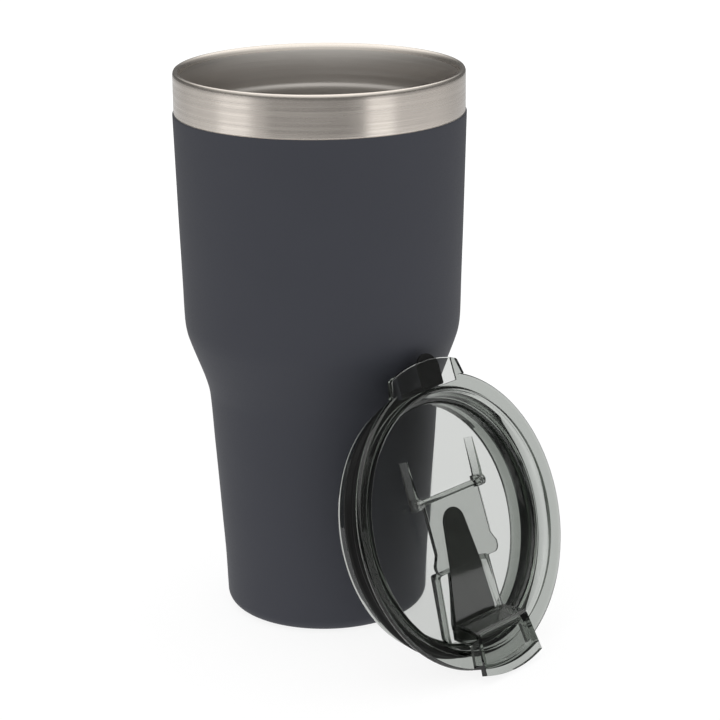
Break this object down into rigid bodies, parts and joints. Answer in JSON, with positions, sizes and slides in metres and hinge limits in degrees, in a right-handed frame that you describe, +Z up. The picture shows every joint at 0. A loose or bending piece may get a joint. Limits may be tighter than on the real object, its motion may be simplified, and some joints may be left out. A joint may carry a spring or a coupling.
{
  "type": "insulated tumbler with lid",
  "caption": "Double-wall insulated tumbler with a wide mouth and slim lower body, with a press-in flip-top lid leaning against its side.",
  "frame": {"origin": "centre of the tumbler's standing face", "axes": "+Z up along the tumbler's axis, +X towards the side where the lid leans"},
  "size_m": [0.1492, 0.1141, 0.1993],
  "materials": {
    "coated_steel": "matte powder coat, dark slate, with a bare brushed band at the mouth",
    "brushed_steel": "brushed stainless steel",
    "braze": "dull braze",
    "smoke_clear_plastic": "polished clear plastic, smoky grey-green",
    "black_silicone": "matte black silicone"
  },
  "bodies": {
    "tumbler": {"outer_shell": "coated_steel", "inner_liner": "brushed_steel", "outer_bottom": "brushed_steel", "vacuum_seal_bead": "braze", "getter": "braze", "base_cover": "brushed_steel"},
    "lid": {"lid_shell": "smoke_clear_plastic", "lid_gasket": "black_silicone"},
    "arm": {"flip_arm": "smoke_clear_plastic", "arm_pad": "black_silicone"}
  },
  "joints": [
    {"name": "lid_lift", "type": "slide", "parent": "tumbler", "child": "lid", "axis": [0.9447, 0, 0.328], "range_m": [0, 0.12]},
    {"name": "flip_arm_hinge", "type": "hinge", "parent": "lid", "child": "arm", "pos_m": [0.06671, -0.00958, 0.05889], "axis": [0, -1, 0], "range_deg": [0, 105]}
  ]
}
